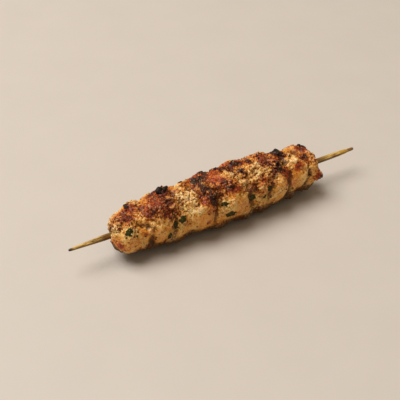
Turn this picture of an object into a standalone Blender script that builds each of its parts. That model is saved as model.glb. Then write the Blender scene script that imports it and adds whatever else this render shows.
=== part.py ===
"""Minced chicken kebab on a bamboo skewer, lying on its side.

The mince is pressed round the skewer by hand, so the meat is a blunt roll, thickest
past its middle, with six finger marks across it at a slant and lumps of mince between
them. It rests on a narrow flat strip. The skewer runs right through it, with a worn
point at one end and a blunt butt at the other.

Metres, +Z up. The skewer lies along X with its point towards -X. The origin is under
the middle of the whole, on the surface that the meat rests on.
"""

import math
import random

import bmesh
import bpy
from mathutils import Vector

# Skewer
SKEWER_LENGTH = 0.250
SKEWER_RADIUS = 0.00225
SKEWER_SIDES = 16
# Outline of the shaped ends: distance from the end, and radius
POINT_OUTLINE = (
    (0.0, 0.0006),
    (0.0008, 0.0009),
    (0.0100, 0.00145),
    (0.0190, 0.0019),
    (0.0270, SKEWER_RADIUS),
)
BUTT_OUTLINE = (
    (0.0, 0.0008),
    (0.0010, 0.0013),
    (0.0060, 0.0014),
    (0.0085, 0.0018),
    (0.0130, 0.0020),
    (0.0240, SKEWER_RADIUS),
)

# Meat
AXIS_HEIGHT = 0.020  # the skewer's height above the resting surface
MEAT_START = -0.0935
MEAT_END = 0.084
MEAT_LIFT = 0.0004  # the roll's middle lies above the skewer by this much
GIRTH_X = 0.010  # where the roll is thickest
GIRTH_RADIUS = 0.0222
START_TAPER = 0.0060  # how much thinner the roll is at each end
START_POWER = 1.7
END_TAPER = 0.0065
END_POWER = 2.0
START_ROUND = 0.0130  # length of the rounded shoulder at each end
END_ROUND = 0.0090
SHOULDER_POWER = 2.2  # 2 is round, more is blunter
END_SAG = 0.0010  # the thinner ends droop by this much
FULL_SAG_AT = 0.2  # share of its girth that the roll has lost where it droops fully

# Finger marks: place along X on the viewed side, and depth
FINGER_MARKS = (
    (-0.0780, 0.0011),
    (-0.0410, 0.0016),
    (-0.0120, 0.0009),
    (0.0140, 0.0013),
    (0.0370, 0.0008),
    (0.0565, 0.0021),
)
MARK_WIDTH = 0.0040
MARK_LEAN = 0.0055  # each mark's ring is tipped along X by this much
MARK_FACING = math.radians(42)

# Single knobs of mince: X, angle round the roll (0 is -Y, 90 is up), reach and height
KNOBS = (
    (-0.0765, 113, 0.0028, 0.0018),
    (-0.0470, 113, 0.0034, 0.0046),
    (-0.0320, 118, 0.0040, 0.0012),
    (-0.0190, 112, 0.0038, 0.0012),
    (-0.0030, 118, 0.0040, 0.0012),
    (0.0135, 118, 0.0048, 0.0018),
    (0.0380, 118, 0.0045, 0.0020),
    (0.0520, 113, 0.0027, 0.0042),
    (0.0760, 110, 0.0036, 0.0030),
    (0.0745, 76, 0.0030, 0.0010),
    (0.0800, -5, 0.0030, 0.0020),
    (0.0050, -44, 0.0030, 0.0012),
    (-0.0900, 150, 0.0030, 0.0014),
    (-0.0905, -32, 0.0030, 0.0012),
)

# Lumps of mince scattered all over
LUMP_SEED = 11
LUMP_COUNT = 160
LUMP_REACH = (0.0028, 0.0058)
LUMP_HEIGHT = (-0.0009, 0.0015)

# Mesh
RINGS = 70
SIDES = 56
PROFILE_STEPS = 900
GAP = 0.0003  # clearance between the skewer and the meat
WELD = 1e-6


def clear_scene():
    """Empty the scene of objects."""
    for old in list(bpy.data.objects):
        bpy.data.objects.remove(old, do_unlink=True)


def new_collection(name):
    """Make a collection in the scene."""
    collection = bpy.data.collections.new(name)
    bpy.context.scene.collection.children.link(collection)
    return collection


def new_material(name, colour, roughness):
    """Make a Principled material in one colour."""
    material = bpy.data.materials.new(name)
    material.use_nodes = True
    shader = material.node_tree.nodes["Principled BSDF"]
    shader.inputs["Base Color"].default_value = (*colour, 1.0)
    shader.inputs["Roughness"].default_value = roughness
    shader.inputs["Metallic"].default_value = 0.0
    material.diffuse_color = (*colour, 1.0)
    return material


def roll_radius(x):
    """Radius of the plain roll at X, before marks and lumps."""
    if x < GIRTH_X:
        away = (GIRTH_X - x) / (GIRTH_X - MEAT_START)
        radius = GIRTH_RADIUS - START_TAPER * away**START_POWER
    else:
        away = (x - GIRTH_X) / (MEAT_END - GIRTH_X)
        radius = GIRTH_RADIUS - END_TAPER * away**END_POWER
    return radius * shoulder(x)


def shoulder(x):
    """How far the rounded end has risen at X, from 0 at the tip to 1."""
    rise = 1.0
    for inside, length in ((x - MEAT_START, START_ROUND), (MEAT_END - x, END_ROUND)):
        short = 1.0 - min(max(inside, 0.0) / length, 1.0)
        rise *= (1.0 - short**SHOULDER_POWER) ** (1.0 / SHOULDER_POWER)
    return rise


def even_stations(count):
    """X of count + 1 rings, equally far apart along the roll's outline."""
    outline = []
    for step in range(PROFILE_STEPS + 1):
        turn = math.pi * step / PROFILE_STEPS
        x = MEAT_START + (MEAT_END - MEAT_START) * 0.5 * (1.0 - math.cos(turn))
        outline.append(Vector((x, roll_radius(x))))
    run = [0.0]
    for before, after in zip(outline, outline[1:]):
        run.append(run[-1] + (after - before).length)
    stations = []
    step = 0
    for ring in range(count + 1):
        wanted = run[-1] * ring / count
        while step < PROFILE_STEPS - 1 and run[step + 1] < wanted:
            step += 1
        part = (wanted - run[step]) / (run[step + 1] - run[step])
        stations.append(outline[step].lerp(outline[step + 1], part).x)
    return stations


def scattered_lumps():
    """Lumps of mince at random places, each as X, angle, reach and height."""
    dice = random.Random(LUMP_SEED)
    lumps = []
    for _ in range(LUMP_COUNT):
        x = dice.uniform(MEAT_START, MEAT_END)
        angle = dice.uniform(0.0, 2.0 * math.pi)
        lumps.append((x, angle, dice.uniform(*LUMP_REACH), dice.uniform(*LUMP_HEIGHT)))
    for x, degrees, reach, height in KNOBS:
        lumps.append((x, math.radians(degrees), reach, height))
    return lumps


def mark_depth(x, angle):
    """How deep the finger marks press in at a place on the roll."""
    depth = 0.0
    for place, deepest in FINGER_MARKS:
        middle = place - MARK_LEAN * math.sin(angle - MARK_FACING)
        depth += deepest * math.exp(-(((x - middle) / MARK_WIDTH) ** 2))
    return depth


def lump_height(x, angle, lumps):
    """How far the lumps raise the roll at a place on it."""
    height = 0.0
    around = max(roll_radius(x), SKEWER_RADIUS)
    for lump_x, lump_angle, reach, top in lumps:
        turn = math.remainder(angle - lump_angle, 2.0 * math.pi)
        distance = math.hypot(x - lump_x, around * turn)
        height += top * math.exp(-((distance / reach) ** 2))
    return height


def skin_point(x, angle, lumps):
    """A point of the meat's surface, with the underside pressed flat at z = 0."""
    rise = shoulder(x)
    radius = roll_radius(x) + rise * (lump_height(x, angle, lumps) - mark_depth(x, angle))
    thinning = 1.0 - roll_radius(x) / GIRTH_RADIUS
    droop = END_SAG * min(thinning / FULL_SAG_AT, 1.0) * rise
    height = AXIS_HEIGHT + MEAT_LIFT - droop + radius * math.sin(angle)
    return Vector((x, -radius * math.cos(angle), max(height, 0.0)))


def make_meat(collection):
    """The roll of mince, from a sphere whose rings are spread along the skewer."""
    mesh = bpy.data.meshes.new("minced_chicken")
    sphere = bmesh.new()
    bmesh.ops.create_uvsphere(sphere, u_segments=SIDES, v_segments=RINGS, radius=1.0)
    stations = even_stations(RINGS)
    lumps = scattered_lumps()
    for vert in sphere.verts:
        polar = math.acos(max(-1.0, min(1.0, -vert.co.z)))
        ring = round(polar / math.pi * RINGS)
        angle = math.atan2(vert.co.y, vert.co.x)
        vert.co = skin_point(stations[ring], angle, lumps)
    bmesh.ops.recalc_face_normals(sphere, faces=sphere.faces)
    sphere.to_mesh(mesh)
    sphere.free()
    mesh.shade_smooth()
    meat = bpy.data.objects.new("minced_chicken", mesh)
    meat.data.materials.append(new_material("chicken", (0.58, 0.32, 0.13), 0.55))
    collection.objects.link(meat)
    return meat


def make_rod(name, collection, extra=0.0):
    """The skewer's shape as a bevelled curve, thicker than the skewer by extra."""
    half = SKEWER_LENGTH / 2
    rings = [(inward - half, radius) for inward, radius in POINT_OUTLINE]
    rings += [(half - inward, radius) for inward, radius in reversed(BUTT_OUTLINE)]
    curve = bpy.data.curves.new(name, "CURVE")
    curve.dimensions = "3D"
    curve.bevel_depth = 1.0
    curve.bevel_resolution = SKEWER_SIDES // 2 - 2
    curve.use_fill_caps = True
    spline = curve.splines.new("POLY")
    spline.points.add(len(rings) - 1)
    for point, (x, radius) in zip(spline.points, rings):
        point.co = (x, 0.0, AXIS_HEIGHT, 1.0)
        point.radius = radius + extra
    rod = bpy.data.objects.new(name, curve)
    collection.objects.link(rod)
    return rod


def as_mesh(rod, collection):
    """The same piece as a closed mesh object, with the curve's caps welded on."""
    bpy.context.view_layer.update()
    solid = rod.evaluated_get(bpy.context.evaluated_depsgraph_get())
    mesh = bpy.data.meshes.new_from_object(solid)
    shape = bmesh.new()
    shape.from_mesh(mesh)
    bmesh.ops.remove_doubles(shape, verts=shape.verts, dist=WELD)
    shape.to_mesh(mesh)
    shape.free()
    name = rod.name
    place = rod.matrix_world.copy()
    bpy.data.objects.remove(rod, do_unlink=True)
    piece = bpy.data.objects.new(name, mesh)
    piece.matrix_world = place
    collection.objects.link(piece)
    return piece


def make_skewer(collection):
    """The bamboo skewer."""
    skewer = make_rod("bamboo_skewer", collection)
    skewer.data.materials.append(new_material("bamboo", (0.62, 0.40, 0.14), 0.6))
    return skewer


def cut_skewer_hole(meat, collection):
    """Cut the hole that the skewer runs through, a gap wider than the skewer."""
    cutter = as_mesh(make_rod("skewer_hole", collection, extra=GAP), collection)
    cutter.hide_render = True
    cutter.display_type = "WIRE"
    cut = meat.modifiers.new("skewer hole", "BOOLEAN")
    cut.operation = "DIFFERENCE"
    cut.solver = "EXACT"
    cut.object = cutter
    return cutter


def centre_on_origin(pieces, movers):
    """Slide everything in X and Y so that the pieces' joint box is centred on the origin."""
    bpy.context.view_layer.update()
    graph = bpy.context.evaluated_depsgraph_get()
    corners = []
    for piece in pieces:
        solid = piece.evaluated_get(graph)
        corners.extend(solid.matrix_world @ vert.co for vert in solid.to_mesh().vertices)
        solid.to_mesh_clear()
    for axis in (0, 1):
        places = [corner[axis] for corner in corners]
        for mover in movers:
            mover.location[axis] -= (min(places) + max(places)) / 2


def main():
    """Build the kebab."""
    clear_scene()
    kebab = new_collection("chicken_kebab_skewer")
    cutters = new_collection("cutters")
    meat = make_meat(kebab)
    skewer = make_skewer(kebab)
    cutter = cut_skewer_hole(meat, cutters)
    centre_on_origin((meat, skewer), (meat, skewer, cutter))


main()
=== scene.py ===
# %% [markdown]
# # A minced chicken kebab on a bamboo skewer
#
# The kebab is a handful of minced chicken, herb and fat, pressed round a flat-lying
# bamboo stick and grilled until the crumbs that stand up are brown and a few are burnt.
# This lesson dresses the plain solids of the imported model: the roll gets its mince,
# its crust and its herb, and the stick its fibres. The solids themselves stay as they
# are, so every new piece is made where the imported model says.

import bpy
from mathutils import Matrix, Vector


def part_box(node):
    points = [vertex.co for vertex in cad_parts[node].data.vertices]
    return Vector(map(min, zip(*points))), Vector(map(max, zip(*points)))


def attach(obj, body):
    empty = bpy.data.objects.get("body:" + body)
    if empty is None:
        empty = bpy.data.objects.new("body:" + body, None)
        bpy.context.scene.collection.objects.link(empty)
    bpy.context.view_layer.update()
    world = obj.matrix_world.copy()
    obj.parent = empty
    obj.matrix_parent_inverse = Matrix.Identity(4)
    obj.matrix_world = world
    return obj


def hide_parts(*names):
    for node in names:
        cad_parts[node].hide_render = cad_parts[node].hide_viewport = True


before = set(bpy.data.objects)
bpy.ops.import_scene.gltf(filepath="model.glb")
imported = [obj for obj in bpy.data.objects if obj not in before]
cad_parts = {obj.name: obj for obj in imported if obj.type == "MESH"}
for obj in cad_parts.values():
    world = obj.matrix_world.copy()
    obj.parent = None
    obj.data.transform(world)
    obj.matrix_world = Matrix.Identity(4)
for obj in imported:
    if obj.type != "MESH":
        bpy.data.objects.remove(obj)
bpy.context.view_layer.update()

# %% [markdown]
# ## Where things are
#
# Most measures below are given the way a cook would point at the roll: how far along
# the stick, and how far round it. So the stick's middle line is read from its box
# first. Round the roll, 0 degrees faces the front, -Y, and 90 degrees faces up.

# %% The stick's middle line
import math
import random

import bpy
import numpy as np
from mathutils import Matrix, Vector, noise
from mathutils.bvhtree import BVHTree
from mathutils.kdtree import KDTree

MM = 0.001
stick_low, stick_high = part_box("bamboo_skewer")
meat_low, meat_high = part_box("minced_chicken")
AXIS = Vector((0.0, (stick_low.y + stick_high.y) / 2, (stick_low.z + stick_high.z) / 2))


def outward(angle):
    """The direction straight out of the roll at an angle in degrees."""
    turn = math.radians(angle)
    return Vector((0.0, -math.cos(turn), math.sin(turn)))


print("the stick lies", round(AXIS.z / MM, 1), "mm above the floor")

# %% [markdown]
# ## Camera
#
# The kebab is seen from above at a slant, with its point towards the viewer's left.
# A longish lens keeps the two ends nearly the same size.

# %% Camera
CAMERA_AZIMUTH = math.radians(-30.0)
CAMERA_ELEVATION = math.radians(38.26)
CAMERA_DISTANCE = 0.5841
CAMERA_LENS = 70.0
CAMERA_AIM = Vector((-0.0177, 0.0028, AXIS.z))

back = Vector(
    (
        math.sin(CAMERA_AZIMUTH) * math.cos(CAMERA_ELEVATION),
        -math.cos(CAMERA_AZIMUTH) * math.cos(CAMERA_ELEVATION),
        math.sin(CAMERA_ELEVATION),
    )
)
bpy.ops.object.camera_add(
    location=CAMERA_AIM + back * CAMERA_DISTANCE,
    rotation=back.to_track_quat("Z", "Y").to_euler(),
)
camera = bpy.context.object
camera.data.lens = CAMERA_LENS
camera.data.clip_start = 0.01
bpy.context.scene.camera = camera
print("camera", [round(value, 3) for value in camera.location])

# %% [markdown]
# ## Colours and shader sums
#
# Colours are written as they look, from 0 to 255, and turned into the linear values
# that shaders take. A material is mostly sums: how brown, how deep, how wet. Wrapping a
# socket in a small class lets those sums be written as plain arithmetic, and each
# operator adds its own Math node.


# %% Colour and shader helpers
def tone(red, green, blue):
    """A colour as it looks, 0 to 255, as linear RGBA."""
    linear = []
    for value in (red / 255, green / 255, blue / 255):
        linear.append(value / 12.92 if value <= 0.04045 else ((value + 0.055) / 1.055) ** 2.4)
    return (*linear, 1.0)


class Value:
    """A number that varies over a surface: one output socket, with arithmetic."""

    def __init__(self, finish, socket):
        self.finish = finish
        self.socket = socket

    def __add__(self, other):
        return self.finish.math("ADD", self, other)

    def __sub__(self, other):
        return self.finish.math("SUBTRACT", self, other)

    def __rsub__(self, other):
        return self.finish.math("SUBTRACT", other, self)

    def __mul__(self, other):
        return self.finish.math("MULTIPLY", self, other)

    def __truediv__(self, other):
        return self.finish.math("DIVIDE", self, other)

    __radd__ = __add__
    __rmul__ = __mul__


class Finish:
    """A material that is being put together round its Principled shader."""

    def __init__(self, name, **shader_values):
        self.material = bpy.data.materials.new(name)
        self.material.use_nodes = True
        self.tree = self.material.node_tree
        self.shader = self.tree.nodes["Principled BSDF"]
        for socket, value in shader_values.items():
            self.shader.inputs[socket.replace("_", " ")].default_value = value
        self.place = self.node("ShaderNodeTexCoord").outputs["Object"]

    def node(self, kind, settings=None, sockets=None):
        """Add a node: its settings first, then the values or links of its sockets."""
        made = self.tree.nodes.new(kind)
        for name, value in (settings or {}).items():
            if name == "stops":
                ramp = made.color_ramp.elements
                while len(ramp) < len(value):
                    ramp.new(1.0)
                for stop, (position, colour) in zip(ramp, value):
                    stop.position = position
                    stop.color = colour
            else:
                setattr(made, name, value)
        for key, value in (sockets or {}).items():
            self.feed(made.inputs[key], value)
        return made

    def feed(self, socket, value):
        """Link a value into a socket, or set the socket to a plain number or colour."""
        if isinstance(value, Value):
            value = value.socket
        if isinstance(value, bpy.types.NodeSocket):
            self.tree.links.new(value, socket)
        else:
            socket.default_value = value

    def math(self, operation, first, second):
        made = self.node("ShaderNodeMath", {"operation": operation}, {0: first, 1: second})
        return Value(self, made.outputs[0])

    def attribute(self, name):
        """A number stored on the mesh's points."""
        made = self.node("ShaderNodeAttribute", {"attribute_name": name})
        return Value(self, made.outputs["Fac"])

    def stretched(self, scale):
        """The piece's own coordinates, scaled by a different amount each way."""
        made = self.node("ShaderNodeMapping", None, {"Vector": self.place, "Scale": scale})
        return made.outputs["Vector"]

    def grain(self, size, detail=2.0, place=None, roughness=0.55, distortion=0.0):
        """Soft random patches of about one size, in metres, from 0 to 1."""
        sockets = {
            "Vector": place or self.place,
            "Scale": 1.0 / size,
            "Detail": detail,
            "Roughness": roughness,
            "Distortion": distortion,
        }
        return Value(self, self.node("ShaderNodeTexNoise", None, sockets).outputs["Fac"])

    def between(self, value, low, high):
        """0 below low, 1 above high and a smooth rise between."""
        settings = {"interpolation_type": "SMOOTHSTEP"}
        sockets = {"Value": value, "From Min": low, "From Max": high}
        return Value(self, self.node("ShaderNodeMapRange", settings, sockets).outputs["Result"])

    def mix(self, first, second, share):
        """A colour between two others."""
        settings = {"data_type": "RGBA"}
        made = self.node("ShaderNodeMix", settings, {0: share, 6: first, 7: second})
        return made.outputs[2]

    def bump(self, height, distance, strength, normal=None):
        sockets = {"Height": height, "Distance": distance, "Strength": strength}
        if normal is not None:
            sockets["Normal"] = normal
        return self.node("ShaderNodeBump", None, sockets).outputs["Normal"]


print("helpers ready")

# %% [markdown]
# ## Floor and light
#
# The dish is left out, so the kebab lies on a plain pale floor. One big soft lamp high
# behind the roll lights its top and leaves its near underside dark, and a weak warm sky
# fills the rest. The lamp stands far off, so that the floor is lit evenly.

# %% Floor and light
FLOOR_SIZE = 12.0
FLOOR_COLOURS = (tone(200, 191, 181), tone(206, 197, 187))
KEY_AZIMUTH = math.radians(138.0)  # from +X towards +Y
KEY_ELEVATION = math.radians(64.0)
KEY_DISTANCE = 3.2
KEY_SIZE = 2.3
KEY_POWER = 116.0
SKY_STRENGTH = 0.27

bpy.ops.mesh.primitive_plane_add(size=FLOOR_SIZE)
floor = bpy.context.object
floor.name = "floor"
floor_finish = Finish("pale floor", Roughness=0.6)
floor_cloud = floor_finish.grain(0.05, detail=3.0)
floor_colour = floor_finish.mix(*FLOOR_COLOURS, floor_cloud)
floor_finish.feed(floor_finish.shader.inputs["Base Color"], floor_colour)
floor.data.materials.append(floor_finish.material)

key_way = Vector(
    (
        math.cos(KEY_AZIMUTH) * math.cos(KEY_ELEVATION),
        math.sin(KEY_AZIMUTH) * math.cos(KEY_ELEVATION),
        math.sin(KEY_ELEVATION),
    )
)
bpy.ops.object.light_add(
    type="AREA",
    location=key_way * KEY_DISTANCE,
    rotation=key_way.to_track_quat("Z", "Y").to_euler(),
)
key = bpy.context.object
key.name = "key lamp"
key.data.size = KEY_SIZE
key.data.energy = KEY_POWER
key.data.color = (1.0, 0.98, 0.96)

world = bpy.data.worlds.new("warm sky")
world.use_nodes = True
world.node_tree.nodes["Background"].inputs["Color"].default_value = (1.0, 0.82, 0.60, 1.0)
world.node_tree.nodes["Background"].inputs["Strength"].default_value = SKY_STRENGTH
bpy.context.scene.world = world
bpy.context.scene.view_settings.view_transform = "Standard"
print("floor and light ready")

# %% [markdown]
# ## Small tools for modelling
#
# Operators act on whatever is selected, so each step starts by picking one piece alone.
# Modifiers are applied at once, because the finished pieces must hold their own shape.


# %% Modelling helpers
def pick(piece):
    """Select one piece alone and make it active."""
    if bpy.context.mode != "OBJECT":
        bpy.ops.object.mode_set(mode="OBJECT")
    bpy.ops.object.select_all(action="DESELECT")
    piece.select_set(True)
    bpy.context.view_layer.objects.active = piece


def apply_modifier(piece, kind, **settings):
    """Add a modifier, set it and apply it."""
    pick(piece)
    modifier = piece.modifiers.new(kind.lower(), kind)
    for name, value in settings.items():
        setattr(modifier, name, value)
    bpy.ops.object.modifier_apply(modifier=modifier.name)


def points_of(piece):
    """A piece's points as an array."""
    spots = np.empty(len(piece.data.vertices) * 3, np.float32)
    piece.data.vertices.foreach_get("co", spots)
    return spots.reshape(-1, 3).astype(float)


def normals_of(piece):
    """The surface's direction at each point, as an array."""
    ways = np.empty(len(piece.data.vertices) * 3, np.float32)
    piece.data.vertex_normals.foreach_get("vector", ways)
    return ways.reshape(-1, 3).astype(float)


def store(piece, name, numbers):
    """Store one number for each point, for the material to read."""
    layer = piece.data.attributes.new(name, "FLOAT", "POINT")
    layer.data.foreach_set("value", np.asarray(numbers, np.float32))


print("modelling helpers ready")

# %% [markdown]
# ## Where heat and hands have been
#
# A kebab is never even. Fingers press some stretches smooth, the coals scorch others,
# and fat runs gold over the rest. Each such place is one soft spot, placed along
# and round the roll, and the same spots later guide both the relief and the colour. The
# far side, which was on the coals first, repeats the lower spots slid along the stick.

# %% Soft spots
# Each spot: mm along the stick, degrees round the roll, reach along and round in mm, strength
PRESSED = (
    (62, 30, 8, 9, 0.9), (-30, 12, 11, 9, 0.8), (-84, 5, 9, 9, 0.8), (-62, 5, 10, 8, 0.6),
    (3, 15, 8, 10, 0.7), (28, 33, 6, 4, 0.5), (38, 30, 6, 8, 0.5), (66, 85, 6, 5, 0.5),
    (-71, 92, 5, 5, 0.4), (75, 35, 4, 8, 0.5), (60, 68, 5, 4, 0.9), (-5, 84, 5, 5, 0.5),
    (45, 25, 5, 6, 0.5), (-72, 50, 5, 4, 0.5), (74, 68, 5, 6, 0.4),
)
BROWNED = (
    (-83, 73, 5, 4, 0.9), (-77, 103, 4, 4, 0.8), (-86, 103, 4, 3, 0.5), (-84, 57, 3, 3, 0.5),
    (-67, 102, 4, 3, 0.5), (-63, 60, 5, 4, 1.0), (-58, 52, 5, 4, 0.8), (-55, 44, 3, 3, 0.8),
    (-57, 75, 7, 7, 0.5), (-50, 70, 5, 5, 0.7), (-54, 92, 4, 5, 0.7), (-48, 100, 5, 6, 0.9),
    (-47, 40, 3, 3, 0.5), (-72, 12, 2, 2, 0.6), (-74, 25, 2, 3, 0.5), (-72, 38, 5, 2, 0.35),
    (-25, 43, 4, 3, 0.8), (-21, 64, 4, 5, 0.9), (-17, 46, 5, 6, 0.95), (-22, 98, 8, 5, 0.8),
    (-30, 103, 4, 4, 0.6), (-17, 13, 3, 1.5, 0.6), (-24, -5, 2, 3, 0.5), (-9, 102, 6, 4, 0.5),
    (-6, 68, 5, 3, 0.85), (-1, 52, 6, 4, 0.85), (3, 44, 5, 3, 0.7), (-12, 46, 3, 2, 0.6),
    (12, 75, 4, 4, 0.95), (3, 104, 6, 4, 0.7), (16, 104, 6, 4, 0.8), (17, 35, 4, 4, 0.8),
    (14, 57, 3, 2, 0.6), (24, 97, 4, 5, 0.85), (27, 43, 5, 3, 0.7), (36, 96, 6, 5, 0.8),
    (45, 93, 3, 5, 0.8), (43, 66, 4, 5, 0.95), (41, 53, 5, 4, 0.8), (48, 40, 5, 4, 0.8),
    (60, 47, 3, 3, 1.0), (57, 98, 5, 4, 0.4), (70, 68, 6, 4, 0.8), (70, 24, 1.5, 5, 0.5),
    (78, -2, 4, 4, 0.8), (76, 102, 4, 4, 0.9), (78, 50, 3, 6, 0.3), (46, 18, 3, 2, 0.4),
    (1, 0, 2, 3, 0.3), (20, -12, 3, 2, 0.4), (-91, -10, 1.5, 2, 1.0), (22, 21, 2, 2, 0.5),
    (-57, 74, 10, 14, 0.6), (-52, 55, 5, 6, 0.4), (-18, 58, 9, 11, 0.4), (-22, 104, 12, 6, 0.5), (8, 104, 14, 6, 0.5),
    (42, 60, 7, 9, 0.4), (36, 102, 10, 6, 0.5), (-80, 84, 7, 8, 0.35), (1, 58, 9, 5, 0.35),
    (72, 98, 8, 6, 0.35),
)
CHARRED = (
    (-84, 73, 2.5, 2, 0.5), (-76.5, 108, 2.5, 3, 0.8), (-63, 58, 3, 2.5, 0.6), (-48, 103, 4, 5, 1.0),
    (-50, 68, 2.5, 3, 0.5), (-18, 42, 3.5, 5, 0.9), (-21, 64, 3, 2, 0.5), (-20, 104, 6, 5, 0.7),
    (-6, 68, 3, 2, 0.5), (-2, 53, 3.5, 2.5, 0.6), (12.5, 74, 2.5, 3, 0.9), (17, 35, 2, 2.5, 0.5),
    (24, 98, 2.5, 4, 0.7), (43.5, 67, 3, 4, 0.9), (42, 55, 3, 2, 0.6), (50, 37, 2.5, 2, 0.5),
    (52, 112, 2.5, 4, 1.0), (60, 47, 2, 2, 0.9), (76, 108, 3.5, 4, 1.0), (70, 68, 2.5, 2, 0.5),
    (79, -2, 2.5, 3, 0.8), (37, 104, 4, 4, 0.6), (14, 112, 5, 5, 0.6), (-3, 112, 5, 5, 0.6),
    (-92, 100, 2, 3, 0.8), (-91, -10, 1.2, 1.8, 0.6), (-56, 45, 1.5, 3, 0.5),
)
SUNK = (
    (-76, 45, 2, 2.5, 0.5), (-73, 37, 2, 2.5, 0.6), (-70, 29, 2, 2.5, 0.7), (-66, 15, 2, 4, 0.5),
    (-42, 98, 3, 5, 0.9), (-41, 78, 3, 6, 0.7), (-40, 50, 4, 5, 0.4), (-48, 22, 3, 5, 0.7),
    (-50, 5, 3, 5, 0.6), (-12, 48, 2, 4, 0.7), (-14, 28, 2, 5, 0.6), (-16, 8, 2, 5, 0.5),
    (12, 38, 2, 4, 0.6), (13, 22, 2, 4, 0.7), (14, 5, 2.5, 5, 0.8), (9, 92, 3, 5, 0.6),
    (38, 44, 3, 3, 0.5), (34, 24, 2.5, 4, 0.6), (31, 8, 2.5, 5, 0.6), (49, 80, 3, 3, 1.0),
    (52, 71, 3, 2.5, 1.0), (53, 30, 1.8, 5, 0.5), (51, 12, 2, 5, 0.5), (50, -5, 2.5, 5, 0.5),
    (70, 22, 1.6, 6, 0.6), (-30, 90, 3, 4, 0.4), (29, 92, 3, 4, 0.5), (65, 98, 4, 4, 0.7),
    (-68, 0, 2, 5, 0.3), (-68, -20, 3, 6, 0.9), (-50, -12, 3, 5, 0.6), (-17, -10, 2.5, 5, 0.5),
    (16, -12, 3, 5, 0.6), (30, -8, 3, 5, 0.5), (49, -22, 3, 6, 0.8), (68, 6, 2.5, 6, 0.7),
    (67, -12, 3, 6, 0.7), (-45, 40, 2.5, 4, 0.5), (-30, 38, 3, 2, 0.3), (20, 40, 3, 2.5, 0.4),
)
RAISED = (
    (-48, 106, 3, 3, 0.2), (-58, 100, 4, 4, 0.2), (-32, 113, 3, 3, 0.5), (-87, -28, 6, 6, 1.0),
    (-19, 112, 4, 3, 0.5), (-3, 113, 4, 3, 0.5), (14, 113, 4, 3, 0.5), (38, 112, 4, 3.5, 0.5),
    (52.5, 110, 2.5, 3, 0.5), (80, -3, 3, 3.5, 0.8), (43, 66, 3.5, 4, 0.5),
    (12, 75, 3, 3, 0.5), (-18, 45, 4, 5, 0.5), (-84, 74, 4, 3, 0.4), (-60, 58, 5, 4, 0.4),
    (-26, 12, 8, 9, 1.0), (1, 22, 8, 9, 1.0), (24, 28, 6, 7, 0.7), (42, 20, 6, 9, 0.9),
    (62, 28, 6, 10, 1.0), (-60, 8, 7, 9, 0.8), (-84, 8, 7, 9, 0.7), (60, 62, 5, 5, 0.7),
    (-1, 84, 5, 5, 0.4), (76, 35, 3, 8, 0.6),
    (-76, -45, 12, 4, 0.3), (-54, -45, 14, 4, 0.45), (-32, -45, 14, 4, 0.5), (-10, -45, 14, 4, 0.5),
    (12, -45, 14, 4, 0.5), (34, -45, 14, 4, 0.5), (56, -45, 14, 4, 0.4), (72, -45, 6, 4, 0.3),
)
RUDDY = (
    (-8, 86, 5, 7, 1.0), (-56, 62, 9, 12, 0.35), (-64, 80, 6, 8, 0.4), (-25, 43, 3, 3, 0.6), (43, 80, 3, 2.5, 0.7),
    (60, 47, 3.5, 3.5, 0.9), (53, 8, 4, 5, 0.6), (-91, -9, 2, 3, 0.9), (47, 34, 5, 4, 0.6),
    (27, 43, 5, 3, 0.6), (1, 42, 6, 3, 0.6), (36, 98, 6, 5, 0.5), (4, -36, 3, 6, 0.8),
    (76, 88, 4, 4, 0.5), (-77, 100, 4, 4, 0.5), (-84, 73, 5, 4, 0.4), (77, 2, 4, 4, 0.5),
)
PALE = (
    (-38, 62, 7, 12, 1.0), (-38, 30, 6, 8, 0.7), (-40, 85, 5, 7, 0.7), (59, 66, 5, 4, 1.0),
    (26, 72, 13, 8, 0.5), (3, 84, 5, 4, 0.7), (-90, 40, 4, 6, 0.6), (-72, 45, 6, 4, 0.5),
    (-7, 58, 4, 3, 0.5), (46, 74, 3, 2, 0.4), (-75, 65, 5, 5, 0.4), (-86, 50, 3, 3, 0.5),
    (-73, 52, 6, 6, 0.7), (-67, 28, 4, 4, 0.8), (-84, 20, 5, 5, 0.6), (-27, 25, 6, 5, 0.4), (62, 20, 5, 6, 0.5),
    (30, 0, 8, 6, 0.35), (44, 8, 6, 5, 0.35), (-5, 8, 5, 6, 0.3), (70, 80, 5, 3, 0.3),
)
JUICY = (
    (-46, 8, 6, 6, 0.6), (-55, -8, 5, 6, 0.6), (-12, 24, 4, 5, 0.5), (14, 10, 4, 6, 0.6),
    (25, 4, 5, 6, 0.5), (51, 74, 3, 3, 1.0), (20, 72, 6, 6, 0.3), (50, -10, 5, 6, 0.5),
    (-84, 24, 5, 5, 0.3), (2, 32, 5, 3, 0.5), (34, 12, 3, 6, 0.4), (-74, -12, 5, 5, 0.4),
    (40, 40, 4, 3, 0.5), (62, 38, 4, 3, 0.4),
)
MIRROR_BELOW = 70  # spots lower than this, in degrees, are repeated on the far side
MIRROR_SLIDE = 9.0 * MM
LEAST_GIRTH = 6.0 * MM  # spots near the stick keep their size
LOOSE_PATCH = 9.0 * MM


def turned(points):
    """How far round the roll each point is, in degrees from -180 to 180."""
    return np.degrees(np.arctan2(points[:, 2] - AXIS.z, -(points[:, 1] - AXIS.y)))


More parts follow.
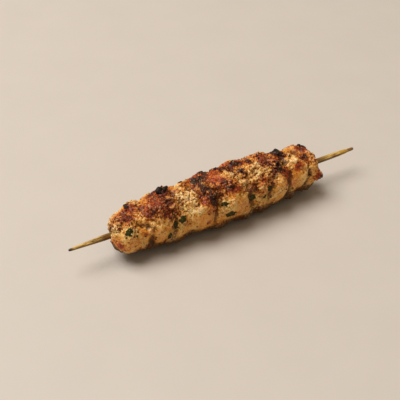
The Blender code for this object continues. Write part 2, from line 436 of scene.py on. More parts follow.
def spot_map(points, listed):
    """How strongly each point is covered by the listed soft spots, 0 to 1."""
    around = turned(points)
    girth = np.hypot(points[:, 1] - AXIS.y, points[:, 2] - AXIS.z).clip(LEAST_GIRTH)
    places = [(x * MM, angle, *rest) for x, angle, *rest in listed]
    places += [
        (x * MM + MIRROR_SLIDE, 180 - angle, *rest)
        for x, angle, *rest in listed
        if angle < MIRROR_BELOW
    ]
    bare = np.ones(len(points))
    for x, angle, along, across, strength in places:
        turn = np.radians((around - angle + 180.0) % 360.0 - 180.0) * girth
        far = ((points[:, 0] - x) / (along * MM)) ** 2 + (turn / (across * MM)) ** 2
        bare *= 1.0 - strength * np.exp(-far)
    return 1.0 - bare


def crumbly(points):
    """From about 0.1 where a hand pressed the mince smooth to 1.2 where it is loose."""
    facing = np.exp(-(((turned(points) + 12.0) / 44.0) ** 2))
    patchy = [noise.noise(Vector(point) / LOOSE_PATCH) for point in points]
    on_top = np.exp(-(((turned(points) - 112.0) / 22.0) ** 2))
    held = (1.0 - 0.8 * facing) * (1.0 - 0.5 * on_top) * (1.0 - 0.8 * spot_map(points, PRESSED))
    return (held + 0.45 * np.array(patchy)).clip(0.04, 1.1)


print(len(BROWNED), "browned places and", len(CHARRED), "burnt ones")

# %% [markdown]
# ## The roll, as a start
#
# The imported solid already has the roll's outline, its finger marks and its big lumps. A
# copy of its mesh is the start. It is made of flat faces, so one round of subdivision
# softens it, and it is drawn in a little to leave room for the mince. Then its humps are
# pushed out by a Displace modifier, with a vertex group for their reach.

# %% A soft copy of the roll
SEAM = 1e-6
MINCE_ROOM = 2.1 * MM
RAISED_HEIGHT = 3.6 * MM


def weigh(piece, name, weights):
    """Give a piece a vertex group with one weight for each point."""
    group = piece.vertex_groups.new(name=name)
    for index, weight in enumerate(weights):
        group.add([index], float(weight), "REPLACE")


meat = bpy.data.objects.new("grilled_mince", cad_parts["minced_chicken"].data.copy())
bpy.context.scene.collection.objects.link(meat)
meat.data.materials.clear()
pick(meat)
bpy.ops.object.mode_set(mode="EDIT")
bpy.ops.mesh.select_all(action="SELECT")
bpy.ops.mesh.remove_doubles(threshold=SEAM)
bpy.ops.object.mode_set(mode="OBJECT")
apply_modifier(meat, "SUBSURF", levels=1, render_levels=1)
apply_modifier(meat, "DISPLACE", strength=-MINCE_ROOM, mid_level=0.0)
weigh(meat, "raised", spot_map(points_of(meat), RAISED))
apply_modifier(meat, "DISPLACE", strength=RAISED_HEIGHT, mid_level=0.0, vertex_group="raised")
print("roll starts with", len(meat.data.polygons), "faces")

# %% [markdown]
# ## Mince
#
# Minced meat is a pile of short soft strands and crumbs pressed together. Bump in a
# material can't give their overlaps, so each crumb is a small squashed ball, half sunk
# in the roll, and a voxel remesh melts roll and balls into one skin with the creases
# that real mince has. It is done in two rounds, so that crumbs lie on the coarse lumps
# and not under them.


# %% Scattering over a surface
def scattered_spots(piece, count, dice):
    """Random points on a piece, evenly over its area, with the surface's direction."""
    mesh = piece.data
    mesh.calc_loop_triangles()
    triangles = [tuple(triangle.vertices) for triangle in mesh.loop_triangles]
    running = np.cumsum([triangle.area for triangle in mesh.loop_triangles])
    spots = []
    for _ in range(count):
        chosen = int(np.searchsorted(running, dice.random() * running[-1]))
        corners = [mesh.vertices[index] for index in triangles[min(chosen, len(triangles) - 1)]]
        first, second = sorted((dice.random(), dice.random()))
        shares = (first, second - first, 1.0 - second)
        spot = sum((c.co * share for c, share in zip(corners, shares)), Vector())
        facing = sum((c.normal * share for c, share in zip(corners, shares)), Vector())
        spots.append((spot, facing.normalized()))
    return spots


def lying_on(spot, facing, spin):
    """A frame whose Z points out of the surface, turned round it by spin."""
    return (
        Matrix.Translation(spot)
        @ facing.to_track_quat("Z", "Y").to_matrix().to_4x4()
        @ Matrix.Rotation(spin, 4, "Z")
    )


def joined_copies(name, pattern, places, shades=None):
    """One piece that holds a copy of the pattern at each place, each with its shade."""
    shape = points_of(pattern)
    faces = np.array([tuple(face.vertices) for face in pattern.data.polygons])
    copies = [shape @ np.array(place.to_3x3()).T + np.array(place.translation) for place in places]
    steps = np.arange(len(places)) * len(shape)
    every = (faces[None] + steps[:, None, None]).reshape(-1, faces.shape[1])
    mesh = bpy.data.meshes.new(name)
    mesh.from_pydata(np.concatenate(copies).tolist(), [], every.tolist())
    piece = bpy.data.objects.new(name, mesh)
    bpy.context.scene.collection.objects.link(piece)
    if shades:
        store(piece, "copy_shade", np.repeat(shades, len(shape)))
    return piece


print("scattering ready")

# %% Crumbs of mince, melted into the roll
CRUMB_ROUNDS = (
    # count, smallest and largest radius, least and most that stands out, voxel
    (300, 2.4 * MM, 4.8 * MM, 0.15, 0.55, 0.90 * MM),
    (1700, 1.0 * MM, 2.2 * MM, 0.10, 0.70, 0.65 * MM),
)
CRUMB_STRETCH = (1.0, 2.0)
END_ROOM = 1.2 * MM  # how far a crumb may reach past the two ends
CRUMB_SQUASH = (0.6, 0.95)
STICK_ROOM = 3.6 * MM

dice = random.Random(4)
crumb_middles = []
for count, smallest, largest, least, most, voxel in CRUMB_ROUNDS:
    bpy.ops.mesh.primitive_ico_sphere_add(subdivisions=2, radius=1.0)
    crumb_pattern = bpy.context.object
    spots = scattered_spots(meat, count, dice)
    looseness = crumbly(np.array([tuple(spot) for spot, _ in spots]))
    places = []
    for (spot, facing), loose in zip(spots, looseness):
        if (spot.yz - AXIS.yz).length < STICK_ROOM:
            continue
        size = smallest + (largest - smallest) * dice.random() ** 1.6
        length = size * dice.uniform(*CRUMB_STRETCH)
        if length > min(spot.x - meat_low.x, meat_high.x - spot.x) + END_ROOM:
            continue
        height = size * dice.uniform(*CRUMB_SQUASH)
        stands = (least + (most - least) * dice.random() ** 1.3) * loose
        sunk = spot - facing * height * (1.0 - stands)
        scale = Matrix.Diagonal((length, size, height, 1.0))
        places.append(lying_on(sunk, facing, dice.uniform(0, math.tau)) @ scale)
        crumb_middles.append(spot + facing * height * stands)
    crumbs = joined_copies("crumbs", crumb_pattern, places)
    bpy.data.objects.remove(crumb_pattern)
    pick(crumbs)
    meat.select_set(True)
    bpy.context.view_layer.objects.active = meat
    bpy.ops.object.join()
    apply_modifier(meat, "REMESH", mode="VOXEL", voxel_size=voxel)
    apply_modifier(meat, "SMOOTH", factor=0.5, iterations=1)
    print(len(places), "crumbs, melted into", len(meat.data.vertices), "points")

# %% [markdown]
# ## Fine relief
#
# Melted crumbs are too round: grilled mince is also torn and pitted at a millimetre or
# two, and it gathers in handfuls. Displace modifiers with cloud textures add that,
# weighted so that the pressed places stay calmer. The creases between handfuls are
# pushed in first, in the same way as the humps were pushed out.

# %% Fine relief
SUNK_DEPTH = 3.0 * MM
RELIEFS = (
    # name, size of its features, height, depth of detail
    ("handfuls", 12.0 * MM, 6.0 * MM, 0),
    ("torn lumps", 3.6 * MM, 3.2 * MM, 2),
    ("pits", 1.8 * MM, 2.0 * MM, 1),
)

meat.vertex_groups.clear()
weigh(meat, "sunk", spot_map(points_of(meat), SUNK))
apply_modifier(meat, "DISPLACE", strength=-SUNK_DEPTH, mid_level=0.0, vertex_group="sunk")
weigh(meat, "loose", crumbly(points_of(meat)).clip(0.0, 1.0))
for name, size, height, depth in RELIEFS:
    texture = bpy.data.textures.new(name, "CLOUDS")
    texture.noise_scale = size
    texture.noise_depth = depth
    apply_modifier(
        meat,
        "DISPLACE",
        texture=texture,
        strength=height,
        mid_level=0.5,
        vertex_group="loose",
    )
meat.vertex_groups.clear()
spots = points_of(meat)
spots[:, 2] = spots[:, 2].clip(0.0)
meat.data.vertices.foreach_set("co", spots.astype(np.float32).ravel())
meat.data.update()
pick(meat)
bpy.ops.object.shade_smooth()
print("roll reaches", [round(float(value) / MM, 1) for value in spots.max(0)], "mm")

# %% [markdown]
# ## Where the crust is brown
#
# Heat browns what stands up. Each point's relief is how far it stands above a smoothed
# copy of the roll. The soft spots, the relief and a shade for each crumb are stored on
# the points as attributes, which the material reads.


# %% What each point knows
TOP_HEAT, TOP_REACH = 100.0, 42.0  # degrees round the roll
UNDER_FLAT, UNDER_REACH = 50.0, 17.0  # degrees each side of straight down


def calm_copy(piece, rounds):
    """A copy of a piece with its relief smoothed away."""
    copy = bpy.data.objects.new("calm", piece.data.copy())
    bpy.context.scene.collection.objects.link(copy)
    apply_modifier(copy, "SMOOTH", factor=0.5, iterations=rounds)
    return copy


def relief_over(piece, rounds):
    """How far each point stands above a smoothed copy of its piece."""
    copy = calm_copy(piece, rounds)
    heights = ((points_of(piece) - points_of(copy)) * normals_of(piece)).sum(1)
    bpy.data.objects.remove(copy)
    return heights


def know_place(piece):
    """Store on each point of a piece what heat and hands did there, and how near it lies to the top and to the
    underside.
    """
    points = points_of(piece)
    for name, listed in (
        ("pressed", PRESSED),
        ("browned", BROWNED),
        ("charred", CHARRED),
        ("ruddy", RUDDY),
        ("pale", PALE),
        ("sunk", SUNK),
        ("juicy", JUICY),
    ):
        store(piece, name, spot_map(points, listed))
    store(piece, "loose", crumbly(points).clip(0.0, 1.0))
    around = turned(points)
    on_top = np.exp(-(((around - TOP_HEAT) / TOP_REACH) ** 2))
    off_down = np.abs((around + 270.0) % 360.0 - 180.0)
    underneath = np.exp(-(((off_down - UNDER_FLAT).clip(0.0) / UNDER_REACH) ** 2))
    store(piece, "on_top", on_top)
    store(piece, "underneath", underneath)


fine_relief = relief_over(meat, 8)
broad_relief = relief_over(meat, 70)
store(meat, "fine_relief", (fine_relief / (0.25 * MM)).clip(-1.0, 1.0))
store(meat, "broad_relief", (broad_relief / (1.0 * MM)).clip(-1.0, 1.0))
know_place(meat)

crumb_tree = KDTree(len(crumb_middles))
for index, middle in enumerate(crumb_middles):
    crumb_tree.insert(middle, index)
crumb_tree.balance()
crumb_shades = np.array([dice.random() for _ in crumb_middles])
nearest = np.array([crumb_tree.find(spot)[1] for spot in points_of(meat)])
store(meat, "copy_shade", crumb_shades[nearest])
print("relief spreads", round(float(broad_relief.std()) / MM, 2), "mm")

# %% [markdown]
# ## Loose crumbs
#
# A remesh can't hold anything finer than its voxels, so the finest crumbs are a piece of
# their own: one rough grain, copied over the places where the mince is loose. Each copy
# is turned and squashed its own way and sunk to its middle or deeper.

# %% One rough grain
bpy.ops.mesh.primitive_ico_sphere_add(subdivisions=2, radius=1.0)
grain = bpy.context.object
dents = bpy.data.textures.new("grain dents", "CLOUDS")
dents.noise_scale = 0.7
apply_modifier(grain, "DISPLACE", texture=dents, strength=0.8, mid_level=0.5)
print("one grain has", len(grain.data.polygons), "faces")

# %% Loose crumbs
LOOSE_TRIES = 2800
LOOSE_MOST = 1800
LOOSE_RADIUS = (0.35 * MM, 1.10 * MM)
LEAST_HEIGHT = 2.5 * MM


def grain_place(spot, facing, size, stands):
    """Where one rough grain lies: turned, leaning and squashed, and part sunk."""
    sides = (dice.uniform(0.8, 1.5), dice.uniform(0.7, 1.1), dice.uniform(0.55, 0.95))
    squashed = Matrix.Diagonal((*(size * side for side in sides), 1.0))
    lean = Matrix.Rotation(dice.uniform(-0.6, 0.6), 4, "X")
    centre = spot + facing * size * (stands - 0.5)
    return lying_on(centre, facing, dice.uniform(0, math.tau)) @ lean @ squashed


loose_places = []
loose_tries = scattered_spots(meat, LOOSE_TRIES, dice)
looseness = crumbly(np.array([tuple(spot) for spot, _ in loose_tries]))
for (spot, facing), loose in zip(loose_tries, looseness):
    clear = (spot.yz - AXIS.yz).length > STICK_ROOM and spot.z > LEAST_HEIGHT
    if clear and dice.random() < loose and len(loose_places) < LOOSE_MOST:
        size = LOOSE_RADIUS[0] + (LOOSE_RADIUS[1] - LOOSE_RADIUS[0]) * dice.random() ** 1.5
        loose_places.append(grain_place(spot, facing, size, dice.uniform(-0.1, 0.4)))
loose_shades = [dice.random() for _ in loose_places]
loose_crumbs = joined_copies("loose_crumbs", grain, loose_places, loose_shades)
pick(loose_crumbs)
bpy.ops.object.shade_smooth()
know_place(loose_crumbs)
crumb_count = len(loose_crumbs.data.vertices)
store(loose_crumbs, "fine_relief", np.full(crumb_count, 0.5))
store(loose_crumbs, "broad_relief", np.full(crumb_count, 0.5))
print(len(loose_places), "loose crumbs,", len(loose_crumbs.data.polygons), "faces")

# %% [markdown]
# ## The crust's finish
#
# One number says how done each bit is, and a ramp turns it into a colour: cream for
# cooked chicken, then straw, gold, amber, red-brown and black. The soft spots, the
# relief, each crumb's shade and grain at three sizes all add to it, so every edge
# between two colours is ragged, as no crumb browns evenly. Grease glosses some patches.

# %% Crust material
DONENESS = (
    (0.00, tone(252, 222, 162)),
    (0.16, tone(244, 194, 108)),
    (0.32, tone(228, 150, 54)),
    (0.46, tone(192, 104, 24)),
    (0.58, tone(138, 50, 8)),
    (0.70, tone(84, 24, 4)),
    (0.84, tone(48, 14, 6)),
    (1.00, tone(26, 13, 9)),
)

crust = Finish(
    "grilled crust",
    Roughness=0.5,
    Specular_IOR_Level=0.15,
    Subsurface_Weight=0.06,
    Subsurface_Radius=(0.003, 0.0012, 0.0006),
    Subsurface_Scale=0.4,
    Coat_Roughness=0.25,
)
broad = crust.grain(9.0 * MM, detail=3.0) - 0.5
medium = crust.grain(3.2 * MM, detail=3.0) - 0.5
small = crust.grain(1.8 * MM, detail=3.0, roughness=0.65, distortion=0.8) - 0.5
speck = crust.grain(1.0 * MM, detail=2.0, roughness=0.7, distortion=1.0) - 0.5
relief = crust.attribute("fine_relief") * 0.35 + crust.attribute("broad_relief") * 0.6
shade = crust.attribute("copy_shade") - 0.5
loose = crust.attribute("loose")
pressed = crust.attribute("pressed")

ragged = medium * 0.5 + small * 1.5 + shade * 0.30
browned = crust.attribute("browned")
doneness = (
    0.26
    + browned * (0.46 + shade * 0.30 + relief * 0.25)
    + crust.attribute("charred") * 0.30
    + pressed * 0.08
    - crust.attribute("pale") * 0.14
    + crust.attribute("on_top") * (0.04 + medium * 0.15)
    # Pits a little browner and raised bits a little paler: partly juice gathered in the pits, partly painted shade.
    - relief * 0.08
    + broad * 0.45
    + ragged * (0.2 + loose * 0.9)
)
skin = crust.node("ShaderNodeValToRGB", {"stops": DONENESS}, {"Fac": doneness}).outputs["Color"]
rust = crust.between(crust.attribute("ruddy") + small * 0.8, 0.0, 0.6)
skin = crust.mix(skin, tone(200, 76, 28), rust * 0.55)
fat = crust.between(0.0 - speck - small * 0.7, 0.06, 0.24)
skin = crust.mix(skin, tone(252, 214, 154), fat * (0.1 + loose * 0.35))
juice = crust.between(crust.attribute("juicy") + medium * 0.6, 0.15, 0.7)
skin = crust.mix(skin, tone(170, 150, 40), juice * 0.5)
# Painted highlight: raised bits away from the browned spots are lightened towards cream.
painted_ridge_highlight = crust.between(relief + small * 0.4 - browned * 0.6, 0.12, 0.5)
skin = crust.mix(skin, tone(250, 208, 152), painted_ridge_highlight * 0.35)
# Painted shade: the sunk creases and low pits are darkened.
painted_crease_shade = crust.between(crust.attribute("sunk") * 0.6 - relief, 0.10, 0.70)
skin = crust.mix(skin, tone(84, 42, 8), painted_crease_shade * 0.8)
fleck = crust.between(speck + small * 0.6 + loose * 0.06, 0.10, 0.18)
skin = crust.mix(skin, tone(72, 30, 8), fleck * 0.85)
# Darker towards the underside, down to a dark band where the roll meets the floor: partly browned crust, partly
# painted shade under the roll.
underside_browning_and_shade = crust.between(crust.attribute("underneath") + small * 0.6 - relief * 0.15, 0.15, 0.95)
skin = crust.mix(skin, tone(66, 30, 4), underside_browning_and_shade * 0.9)
crust.feed(crust.shader.inputs["Base Color"], skin)

burnt = crust.between(doneness, 0.8, 1.0)
wet = crust.between(medium + pressed * 0.15, -0.1, 0.15)
crust.feed(crust.shader.inputs["Roughness"], 0.6 - wet * 0.2 + burnt * 0.12)
crust.feed(crust.shader.inputs["Coat Weight"], wet * 0.4 * (1.0 - burnt * 0.5))
coarse_bump = crust.bump(small * (0.2 + loose * 0.8), 0.0011, 0.8)
fine_bump = crust.bump(speck * (0.2 + loose * 0.8), 0.0007, 0.8, coarse_bump)
crust.feed(crust.shader.inputs["Normal"], fine_bump)
for piece in (meat, loose_crumbs):
    piece.data.materials.append(crust.material)
    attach(piece, "root")
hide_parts("minced_chicken")
print("crust has", len(crust.tree.nodes), "nodes")

# %% [markdown]
# ## The bamboo stick
#
# A skewer is split from a bamboo cane and turned thin, so it isn't a true cylinder: its
# fibres leave shallow flats and grooves all along it, and it is whittled to a point. A
# ring of uneven corners, extruded from the point to the butt and scaled at each step,
# gives both, because each groove then runs on from ring to ring.

# %% The stick's outline
STICK_SIDES = 48
POINT_OUTLINE = (  # mm from the point, radius in mm
    (0.0, 0.5), (0.5, 0.85), (1.5, 1.0), (4.0, 1.15), (10.0, 1.45), (19.0, 1.9), (27.0, 2.25),
)
BUTT_OUTLINE = (  # mm from the butt, radius in mm
    (0.0, 0.75), (0.4, 1.15), (1.2, 1.32), (6.0, 1.4), (8.5, 1.8), (13.0, 2.0), (24.0, 2.25),
)
STICK_RADIUS = 2.25 * MM
SHAFT_STEPS = 36

stations = [(stick_low.x + far * MM, radius * MM) for far, radius in POINT_OUTLINE]
shaft_from = stations[-1][0]
shaft_to = stick_high.x - BUTT_OUTLINE[-1][0] * MM
for step in range(1, SHAFT_STEPS):
    stations.append((shaft_from + (shaft_to - shaft_from) * step / SHAFT_STEPS, STICK_RADIUS))
stations += [(stick_high.x - far * MM, radius * MM) for far, radius in reversed(BUTT_OUTLINE)]
print("the stick has", len(stations), "rings")

# %% The stick, extruded ring by ring
FIBRE_DENT = 0.07  # the deepest groove, as a share of the radius
STICK_WANDER = 0.012  # how much its thickness wanders

bpy.ops.mesh.primitive_circle_add(
    vertices=STICK_SIDES,
    radius=stations[0][1],
    fill_type="NGON",
    location=(stations[0][0], AXIS.y, AXIS.z),
    rotation=(0.0, math.radians(90.0), 0.0),
)
stick = bpy.context.object
stick.name = "bamboo_stick"
pick(stick)
bpy.ops.object.transform_apply(location=True, rotation=True, scale=True)
for corner in stick.data.vertices:
    out = corner.co - Vector((corner.co.x, AXIS.y, AXIS.z))
    corner.co -= out * FIBRE_DENT * dice.random() ** 2

bpy.ops.object.mode_set(mode="EDIT")
bpy.ops.mesh.select_all(action="SELECT")
for (x, radius), (next_x, next_radius) in zip(stations, stations[1:]):
    bpy.ops.mesh.extrude_region_move(TRANSFORM_OT_translate={"value": (next_x - x, 0.0, 0.0)})
    growth = next_radius / radius
    bpy.ops.transform.resize(
        value=(1.0, growth, growth * (1.0 + dice.uniform(-STICK_WANDER, STICK_WANDER))),
        center_override=(next_x, AXIS.y, AXIS.z),
    )
bpy.ops.mesh.select_all(action="SELECT")
bpy.ops.mesh.normals_make_consistent(inside=False)
bpy.ops.object.mode_set(mode="OBJECT")
print("stick", [round(value / MM, 1) for value in stick.dimensions], "mm")

# %% [markdown]
# A fibre has lifted just before the meat, on top. The corners there are pushed in to
# leave its groove.

# %% The lifted fibre
GROOVE_FROM = -106.0 * MM
GROOVE_TO = -88.0 * MM
GROOVE_ANGLE = 68.0
GROOVE_WIDTH = 11.0
GROOVE_DEPTH = 0.45 * MM

corners = points_of(stick)
off = np.abs(turned(corners) - GROOVE_ANGLE) / GROOVE_WIDTH
inside = (corners[:, 0] > GROOVE_FROM) & (corners[:, 0] < GROOVE_TO) & (off < 1.0)
for index in np.flatnonzero(inside):
    corner = stick.data.vertices[int(index)]
    corner.co -= outward(GROOVE_ANGLE) * GROOVE_DEPTH * float(1.0 - off[index])
pick(stick)
bpy.ops.object.shade_smooth_by_angle(angle=math.radians(32.0))
print(int(inside.sum()), "corners pushed in")

# %% Bamboo material
bamboo = Finish("bamboo", Roughness=0.55, Specular_IOR_Level=0.3)
parts = bamboo.node("ShaderNodeSeparateXYZ", None, {"Vector": bamboo.place}).outputs
along = Value(bamboo, parts["X"])
height = Value(bamboo, parts["Z"]) - AXIS.z
fibre = bamboo.grain(0.5 * MM, detail=3.0, place=bamboo.stretched((0.03, 1.0, 1.0)))
hair = bamboo.grain(0.22 * MM, detail=2.0, place=bamboo.stretched((0.02, 1.0, 1.0)))
stain = bamboo.grain(5.0 * MM, detail=3.0, place=bamboo.stretched((0.4, 1.0, 1.0)))

wood = bamboo.mix(tone(226, 182, 92), tone(128, 86, 26), bamboo.between(fibre, 0.44, 0.56))
wood = bamboo.mix(wood, tone(250, 224, 150), bamboo.between(hair, 0.52, 0.64))
wood = bamboo.mix(wood, tone(122, 76, 28), bamboo.between(stain + hair * 0.4, 0.8, 1.0))
# Painted shade: the stick's lower side, below its middle line, is darkened all along.
painted_low_side_shade = 1.0 - bamboo.between(height, 0.3 * MM, 1.1 * MM)
wood = bamboo.mix(wood, tone(124, 86, 14), painted_low_side_shade * 0.7)
rind = bamboo.between(along, 0.109, 0.112) * (1.0 - bamboo.between(along, 0.1175, 0.119))
wood = bamboo.mix(wood, tone(190, 146, 40), rind * 0.75)
butt = bamboo.between(along, 0.118, 0.120)
wood = bamboo.mix(wood, tone(140, 96, 50), butt * 0.8)
uneven = (stain - 0.5) * 0.012
near_meat = bamboo.between(along + uneven, -0.1060, -0.0950)
past_meat = 1.0 - bamboo.between(along + uneven, 0.0880, 0.1010)
singed = near_meat * past_meat
wood = bamboo.mix(wood, tone(92, 52, 6), singed * 0.75)
burnt_point = 1.0 - bamboo.between(along + uneven * 0.5, -0.1235, -0.1205)
wood = bamboo.mix(wood, tone(40, 26, 14), burnt_point * 0.9)
bamboo.feed(bamboo.shader.inputs["Base Color"], wood)
bamboo.feed(bamboo.shader.inputs["Roughness"], 0.45 + fibre * 0.25)
grooves = bamboo.bump(fibre, 0.0003, 0.6)
bamboo.feed(bamboo.shader.inputs["Normal"], bamboo.bump(hair, 0.00015, 0.5, grooves))
stick.data.materials.append(bamboo.material)
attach(stick, "root")
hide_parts("bamboo_skewer")
print("bamboo has", len(bamboo.tree.nodes), "nodes")

# %% [markdown]
# ## Herb
#
# Chopped parsley is in the mince, and it shows on the sides, where the crust is thin.
# One small lobed leaf is modelled and copied. The copies are drawn onto a smoothed copy
# of the roll, so that they lie over some crumbs and are buried by others.

# %% One leaf
LEAF_RIM = 20
LEAF_LOBES = 5

bpy.ops.mesh.primitive_circle_add(vertices=LEAF_RIM, radius=1.0, fill_type="TRIFAN")
leaf = bpy.context.object
for corner in leaf.data.vertices:
    turn = math.atan2(corner.co.y, corner.co.x)
    corner.co *= 0.72 + 0.28 * abs(math.cos(turn * LEAF_LOBES / 2))
pick(leaf)
bpy.ops.object.mode_set(mode="EDIT")
bpy.ops.mesh.select_all(action="SELECT")
bpy.ops.mesh.subdivide(number_cuts=1)
bpy.ops.object.mode_set(mode="OBJECT")
print("one leaf has", len(leaf.data.polygons), "faces")

# %% Leaves on the roll
LEAVES = (
    # mm along the stick, degrees round, length and width in mm, turn in degrees, greenness
    (-84, 36, 4.0, 3.2, 70, 1.0), (-43, 20, 3.6, 2.6, 40, 0.5), (-49, 11, 3.6, 2.0, 95, 0.35),
    (-9, 22, 3.4, 2.0, 10, 0.25), (-5, -5, 4.8, 3.4, 20, 0.45), (15, 12, 3.6, 2.6, 60, 0.4),
    (30, 21, 3.0, 2.2, 0, 0.2), (25, 7, 1.8, 1.2, 30, 0.4), (-55, -10, 3.2, 2.0, 80, 0.2),
)
SMALL_LEAVES = 26
SMALL_LEAF = (0.5 * MM, 1.4 * MM)
LEAF_LIFT = 0.35 * MM
LEAF_THICKNESS = 0.25 * MM
LEAF_CURL_SIZE = 1.6 * MM
LEAF_CURL = 1.0 * MM

calm = calm_copy(meat, 5)
tree = BVHTree.FromObject(calm, bpy.context.evaluated_depsgraph_get())


def on_roll(x, angle):
    """The roll's outside and the way it faces, mm along and degrees round."""
    start = Vector((x * MM, AXIS.y, AXIS.z)) + outward(angle) * 60.0 * MM
    spot, facing, _, _ = tree.ray_cast(start, -outward(angle))
    return spot, facing


leaf_places = []
leaf_shades = []
for x, angle, length, width, turn, green in LEAVES:
    size = Matrix.Diagonal((length * MM, width * MM, MM, 1.0))
    leaf_places.append(lying_on(*on_roll(x, angle), math.radians(turn)) @ size)
    leaf_shades.append(green)
for _ in range(SMALL_LEAVES):
    side = 12.0 + 34.0 * dice.gauss(0.0, 0.7)
    angle = side if dice.random() < 0.5 else 180.0 - side
    size = dice.uniform(*SMALL_LEAF)
    shape = Matrix.Diagonal((size, size * dice.uniform(0.4, 0.9), MM, 1.0))
    spot, facing = on_roll(dice.uniform(-88.0, 78.0), angle)
    leaf_places.append(lying_on(spot, facing, dice.uniform(0, math.tau)) @ shape)
    leaf_shades.append(dice.uniform(0.2, 0.8))
leaves = joined_copies("parsley_leaves", leaf, leaf_places, leaf_shades)
bpy.data.objects.remove(leaf)
apply_modifier(leaves, "SHRINKWRAP", target=calm, wrap_mode="ABOVE_SURFACE", offset=LEAF_LIFT)
curls = bpy.data.textures.new("leaf curls", "CLOUDS")
curls.noise_scale = LEAF_CURL_SIZE
apply_modifier(leaves, "DISPLACE", texture=curls, strength=LEAF_CURL, mid_level=0.5)
apply_modifier(leaves, "SOLIDIFY", thickness=LEAF_THICKNESS, offset=0.0)
pick(leaves)
bpy.ops.object.shade_smooth()
print(len(leaf_places), "leaves,", len(leaves.data.polygons), "faces")

# %% Herb material
herb = Finish("cooked parsley", Roughness=0.5, Specular_IOR_Level=0.2, Coat_Roughness=0.3)
leaf_grain = herb.grain(0.8 * MM, detail=2.0, distortion=0.6)
green = herb.mix(
    tone(62, 44, 4), tone(58, 66, 12), herb.between(herb.attribute("copy_shade"), 0.1, 1.0)
)
green = herb.mix(green, tone(28, 26, 4), herb.between(leaf_grain, 0.42, 0.56) * 0.8)
# Painted highlight: pale olive flecks over the leaves.
green = herb.mix(green, tone(166, 158, 70), herb.between(leaf_grain, 0.58, 0.68) * 0.6)
herb.feed(herb.shader.inputs["Base Color"], green)
herb.feed(herb.shader.inputs["Roughness"], 0.4 + leaf_grain * 0.3)
herb.feed(herb.shader.inputs["Normal"], herb.bump(leaf_grain, 0.0003, 0.5))
leaves.data.materials.append(herb.material)
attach(leaves, "root")
print("herb has", len(herb.tree.nodes), "nodes")

# %% [markdown]
# ## Burnt and toasted crumbs
#
# The crumbs that stood highest are burnt hard and black, and many small ones are toasted
# dark brown. They are separate little grains on the crust, so they catch the light one
# by one. They are copies of the same rough grain.

# %% Grains on the roll
BURNT_NUBS = (
    # mm along the stick, degrees round, radius of the grains in mm, how many, how black
    (-76.5, 108, 1.6, 2, 0.8), (-50.3, 108, 2.6, 1, 1.1), (-45.6, 108, 2.5, 1, 1.0),
    (-48, 103, 2.0, 2, 1.0), (-50, 94, 1.4, 2, 0.8), (-53, 91, 1.2, 2, 0.6),
    (-86, 104, 1.3, 2, 0.4), (-32, 112, 1.5, 2, 0.6), (-21, 112, 1.7, 1, 0.9),
    (-17, 111, 1.5, 2, 0.7), (-3, 112, 1.6, 2, 0.7), (13.5, 112, 1.6, 2, 0.7), (8, 110, 1.3, 2, 0.5),
    (38, 112, 1.7, 2, 0.8), (34, 108, 1.3, 2, 0.6), (52, 110, 1.9, 1, 1.0), (54, 104, 1.4, 2, 0.7),
    (74, 112, 1.8, 1, 0.9), (78, 110, 1.8, 1, 0.9), (81, -2, 2.0, 1, 0.9), (80, -6, 1.4, 2, 0.6),
    (-91, 116, 1.5, 1, 1.0), (12.5, 75, 1.3, 2, 0.8), (43.5, 68, 1.5, 3, 0.8),
    (-18, 43, 1.5, 3, 0.8), (-84, 73, 1.2, 2, 0.4), (-1, 52, 1.2, 3, 0.4), (17, 35, 1.2, 2, 0.4),
    (-63, 58, 1.2, 3, 0.4), (60, 47, 1.2, 2, 0.2), (24, 97, 1.3, 2, 0.5), (-91, -58, 1.3, 1, 0.9),
    (-50, 250, 1.8, 4, 0.9), (10, 235, 1.8, 4, 0.8), (60, 225, 1.6, 4, 0.8),
)
NUB_SPREAD = 0.6
TOASTED_TRIES = 5200
TOASTED_SIZE = (0.28 * MM, 0.85 * MM)

grain_places = []
grain_shades = []


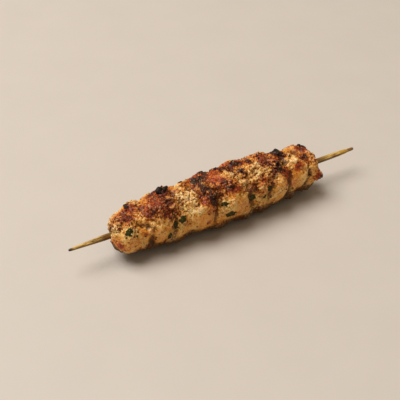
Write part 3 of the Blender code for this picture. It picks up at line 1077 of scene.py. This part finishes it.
for x, angle, radius, count, black in BURNT_NUBS:
    for _ in range(count):
        spread = radius * NUB_SPREAD * (count > 1)
        slide = dice.gauss(0.0, spread)
        turn = math.degrees(dice.gauss(0.0, spread) / 20.0)
        spot, facing = on_roll(x + slide, angle + turn)
        if spot and spot.z > LEAST_HEIGHT:
            size = radius * MM * dice.uniform(0.5, 1.0)
            grain_places.append(grain_place(spot, facing, size, dice.uniform(0.2, 0.6)))
            grain_shades.append(black * dice.uniform(0.7, 1.0))
nub_count = len(grain_places)

tries = scattered_spots(meat, TOASTED_TRIES, dice)
tried = np.array([tuple(spot) for spot, _ in tries])
chance = 0.05 + 0.45 * spot_map(tried, BROWNED) + 0.12 * (np.abs(turned(tried) - 85.0) < 45.0)
darkness = 0.15 + 0.5 * spot_map(tried, CHARRED)
for (spot, facing), likely, dark in zip(tries, chance, darkness):
    clear = (spot.yz - AXIS.yz).length > STICK_ROOM and spot.z > LEAST_HEIGHT
    if dice.random() < likely and clear:
        size = TOASTED_SIZE[0] + (TOASTED_SIZE[1] - TOASTED_SIZE[0]) * dice.random() ** 2
        grain_places.append(grain_place(spot, facing, size, dice.uniform(0.3, 0.9)))
        grain_shades.append(dark * dice.uniform(0.5, 1.3))
grains = joined_copies("toasted_grains", grain, grain_places, grain_shades)
bpy.data.objects.remove(grain)
bpy.data.objects.remove(calm)
pick(grains)
bpy.ops.object.shade_smooth()
print(nub_count, "burnt grains and", len(grain_places) - nub_count, "toasted ones")

# %% Grain material
toast = Finish("toasted grains", Roughness=0.5, Specular_IOR_Level=0.2, Coat_Roughness=0.3)
toast_grain = toast.grain(0.7 * MM, detail=2.0)
darkness = toast.attribute("copy_shade") + (toast_grain - 0.5) * 0.5
toasted = toast.mix(tone(132, 56, 10), tone(64, 22, 3), toast.between(darkness, 0.05, 0.4))
toasted = toast.mix(toasted, tone(32, 19, 12), toast.between(darkness, 0.4, 0.75))
toast.feed(toast.shader.inputs["Base Color"], toasted)
toast.feed(toast.shader.inputs["Roughness"], 0.35 + toast_grain * 0.3)
toast.feed(toast.shader.inputs["Normal"], toast.bump(toast_grain, 0.0004, 0.6))
grains.data.materials.append(toast.material)
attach(grains, "root")
print("grains have", len(toast.tree.nodes), "nodes")
